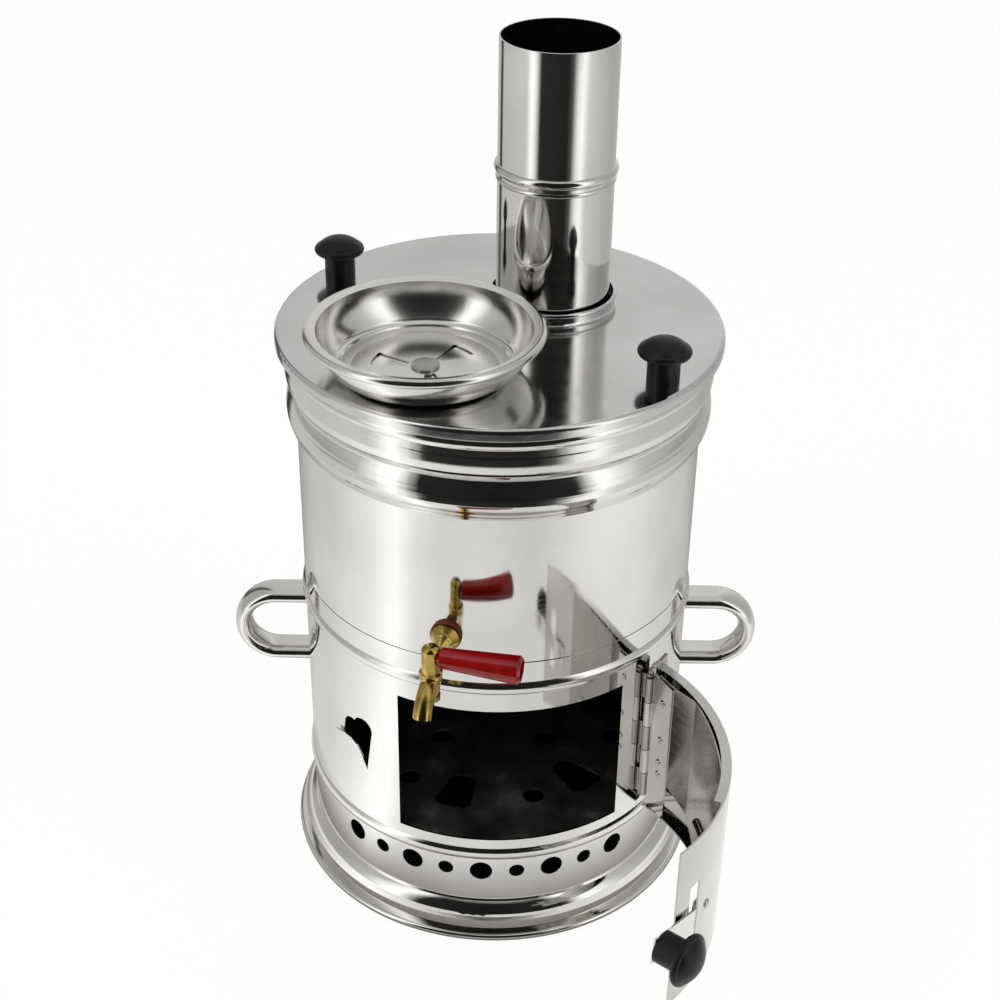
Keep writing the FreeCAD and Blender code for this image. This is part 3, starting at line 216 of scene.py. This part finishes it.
# Grey scale and ash over dark sheet, and soot over dark sheet.
grate_sheet = mottled("grate_sheet", 0.55, (45.0, 7.0), ASH_STOPS, (0.34, 0.52), (240.0,), (0.25, 0.0003))
sooted_sheet = mottled("sooted_sheet", 0.7, (30.0, 8.0), SOOT_STOPS, (0.55, 0.30), (400.0,), (0.2, 0.0003))
tap_brass = mottled("tap_brass", 1.0, (70.0, 3.0), BRASS_STOPS, (0.34, 0.16), (900.0,), (0.15, 0.0002))
black = plastic("knob_plastic", (0.002, 0.002, 0.002), (0.006, 0.006, 0.006), (0.34, 0.46), 0.18, 0.32)
red = plastic("red_handle", (0.20, 0.001, 0.002), (0.30, 0.003, 0.003), (0.12, 0.20), 0.05, 0.55)
fibre = plastic("fibre_washer", (0.08, 0.022, 0.010), (0.17, 0.05, 0.024), (0.6, 0.8), 0.4, 0.3)

FINISHES = (
    (tank_steel, ("tank_shell",)),
    (steel, ("base_shell", "firebox_shell", "chimney_pipe", "handle_right", "handle_left", "latch_strip")),
    (door_steel, ("door_panel", "hinge_leaf_moving")),
    (dull_steel, ("door_shield", "hinge_leaf_fixed")),
    (lid_steel, ("lid",)),
    (spun_steel, ("steam_dish",)),
    (grate_sheet, ("fire_grate",)),
    (sooted_sheet, ("ash_floor", "grate_ledge", "tank_floor", "flue_pipe")),
    (pin_steel, ("lid_knob_screws", "dish_rivet", "hinge_pin", "hinge_rivets_fixed", "hinge_rivets_door",
                 "latch_screw", "latch_rivet")),
    (tap_brass, ("tap_body", "tap_nut", "tap_plug", "tap_plug_nut")),
    (black, ("lid_knob_front", "lid_knob_back", "latch_knob")),
    (red, ("tap_lever",)),
    (fibre, ("tap_washer",)),
)
for finish, names in FINISHES:
    for name in names:
        slots = nodes[name].data.materials
        slots.clear()
        slots.append(finish)

# The seam line.

SEAM_RADIUS = 0.11003
SEAM_HEIGHTS = (0.19150, 0.19195)
SEAM_STEPS = 192


def mesh_object(name, verts, faces, material):
    mesh = bpy.data.meshes.new(name)
    mesh.from_pydata(verts, [], faces)
    mesh.update()
    mesh.materials.append(material)
    obj = bpy.data.objects.new(name, mesh)
    scene.collection.objects.link(obj)
    return obj


def seam_line():
    """The dark line where the tank sits in the firebox: a thin dark band laid in the groove."""
    points, faces = [], []
    for step in range(SEAM_STEPS):
        turn = 2.0 * math.pi * step / SEAM_STEPS
        for height in SEAM_HEIGHTS:
            points.append((SEAM_RADIUS * math.sin(turn), -SEAM_RADIUS * math.cos(turn), height))
        following = (step + 1) % SEAM_STEPS
        faces.append((2 * step, 2 * following, 2 * following + 1, 2 * step + 1))
    # The band only borrows the dark colour of this sheet material.
    band = mesh_object("seam_line", points, faces, sooted_sheet)
    band.data.polygons.foreach_set("use_smooth", [True] * len(faces))
    return band


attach(seam_line(), "boiler")

# The studio. Cameras see white, diffuse surfaces get even light, and metal sees the zones below,
# each a grey for every direction round the object: (degrees from the front, shade).

WHITE = (1.0, 1.0, 1.0, 1.0)
PAPER = (0.86, 0.86, 0.86, 1.0)
PAPER_GLOW = 1.05
PAPER_GLOW_SHARE = 0.88
SOFT_LIGHT = 0.60
WALL_LIGHT = 1.10
CEILING = (0.55, 0.55, 0.54, 1.0)
CEILING_EDGE = (0.86, 0.97)
# Painted shadow: the object's own shadow on the floor close under it, painted into the glow that metal sees
# there.
PAINTED_FLOOR_SHADOW = (0.20, 0.18, 0.165, 1.0)
WARMTH = 0.985
FLOOR_DROP = 0.0004
FLOOR_REACH = 6.0

NEAR_FLOOR = ((-180, 0.40), (-150, 0.34), (-118, 0.70), (-97, 0.78), (-81, 0.94), (-67, 1.10), (-53, 1.42),
              (-41, 1.02), (-29, 0.88), (0, 0.84), (18, 0.78), (40, 0.92), (54, 1.00), (67, 0.98), (81, 0.92),
              (97, 0.80), (117, 0.70), (150, 0.36), (180, 0.40))
FAR_FLOOR = ((-180, 0.55), (-148, 0.55), (-143, 0.05), (-136, 0.05), (-131, 0.60), (-100, 0.66), (-64, 0.74),
             (-52, 1.45), (-44, 1.00), (-35, 0.03), (18, 0.02), (27, 0.10), (38, 1.05), (47, 1.30), (60, 0.76),
             (78, 0.66), (98, 0.58), (125, 0.50), (180, 0.55))
HIGH_WALLS = ((-180, 0.60), (-150, 0.54), (-143, 0.12), (-136, 0.12), (-131, 0.44), (-95, 0.42), (-74, 0.56),
              (-60, 1.25), (-52, 1.40), (-46, 0.70), (-40, 0.02), (0, 0.01), (40, 0.02), (46, 0.80), (52, 1.40),
              (62, 1.00), (76, 0.56), (105, 0.40), (140, 0.48), (160, 0.70), (180, 0.60))
# Each zone with the distances from the middle between which it takes over from the one before it.
FLOOR_ZONES = ((NEAR_FLOOR, 0.120, 0.165), (FAR_FLOOR, 0.56, 0.68), (HIGH_WALLS, 1.5, 1.9))


def round_ramp(tree, azimuth, stops):
    """A faintly warm grey for every direction round the object."""
    greys = [((degrees + 180.0) / 360.0, (shade, shade, shade * WARMTH)) for degrees, shade in stops]
    return ramp(tree, azimuth, greys)


def floor_material():
    """Pale paper. Cameras see it white with the object's shadow; metal sees a painted shadow close under the
    object, and how the paper fades and ends far off.
    """
    mat = bpy.data.materials.new("floor_paper")
    mat.use_nodes = True
    tree = mat.node_tree
    tree.nodes.clear()
    seen = tree.nodes.new("ShaderNodeLightPath").outputs
    paper = add_node(tree, "ShaderNodeBsdfDiffuse", {"Color": PAPER})
    white = add_node(tree, "ShaderNodeEmission", {"Color": WHITE, "Strength": PAPER_GLOW})
    glowing = add_node(tree, "ShaderNodeMath", {0: seen["Is Camera Ray"], 1: PAPER_GLOW_SHARE},
                       operation="MULTIPLY")
    shown = mix_shaders(tree, glowing, paper, white)
    where = tree.nodes.new("ShaderNodeTexCoord").outputs["Object"]
    distance = add_node(tree, "ShaderNodeVectorMath", {0: where}, "Value", operation="LENGTH")
    azimuth = azimuth_of(tree, separate(tree, where))
    # What metal sees starts with the painted shadow close under the object; each zone takes over further out.
    colour = PAINTED_FLOOR_SHADOW
    for stops, start, end in FLOOR_ZONES:
        further = spread(tree, distance, 0.0, 1.0, start, end)
        colour = mix_colours(tree, further, colour, round_ramp(tree, azimuth, stops))
    mirrored = add_node(tree, "ShaderNodeEmission", {"Color": colour})
    out = tree.nodes.new("ShaderNodeOutputMaterial")
    tree.links.new(mix_shaders(tree, seen["Is Glossy Ray"], shown, mirrored), out.inputs["Surface"])
    return mat


def add_floor():
    corners = [(x * FLOOR_REACH, y * FLOOR_REACH, 0) for x, y in ((-1, -1), (1, -1), (1, 1), (-1, 1))]
    obj = mesh_object("floor", corners, [(0, 1, 2, 3)], floor_material())
    obj.location.z = cad_box[0].z - FLOOR_DROP
    return obj


floor = add_floor()


def set_world():
    """White for cameras, even soft light for diffuse surfaces, and soft light and dark walls for metal."""
    world = bpy.data.worlds.new("studio")
    scene.world = world
    world.use_nodes = True
    tree = world.node_tree
    tree.nodes.clear()
    seen = tree.nodes.new("ShaderNodeLightPath").outputs
    soft = add_node(tree, "ShaderNodeBackground", {"Color": WHITE, "Strength": SOFT_LIGHT})
    white = add_node(tree, "ShaderNodeBackground", {"Color": WHITE, "Strength": 1.0})
    direction = separate(tree, tree.nodes.new("ShaderNodeTexCoord").outputs["Generated"])
    walls = round_ramp(tree, azimuth_of(tree, direction), HIGH_WALLS)
    high = spread(tree, direction["Z"], 0.0, 1.0, *CEILING_EDGE)
    room = add_node(tree, "ShaderNodeBackground",
                    {"Color": mix_colours(tree, high, walls, CEILING), "Strength": WALL_LIGHT})
    shown = mix_shaders(tree, seen["Is Camera Ray"], soft, white)
    out = tree.nodes.new("ShaderNodeOutputWorld")
    tree.links.new(mix_shaders(tree, seen["Is Glossy Ray"], shown, room), out.inputs["Surface"])


set_world()

LAMP_SIZE = 1.2
LAMP_TARGET = Vector((0, 0, 0.25))


def add_lamp(name, place, power):
    """A square lamp that lights the part but isn't mirrored in it."""
    data = bpy.data.lights.new(name, "AREA")
    data.shape = "SQUARE"
    data.size = LAMP_SIZE
    data.energy = power
    obj = bpy.data.objects.new(name, data)
    scene.collection.objects.link(obj)
    obj.location = place
    obj.rotation_mode = "QUATERNION"
    obj.rotation_quaternion = (LAMP_TARGET - Vector(place)).to_track_quat("-Z", "Y")
    obj.visible_glossy = False


add_lamp("key_lamp", (-1.6, -1.2, 2.0), 16)
add_lamp("fill_lamp", (1.8, -0.8, 1.6), 9)

scene.view_settings.view_transform = "Standard"
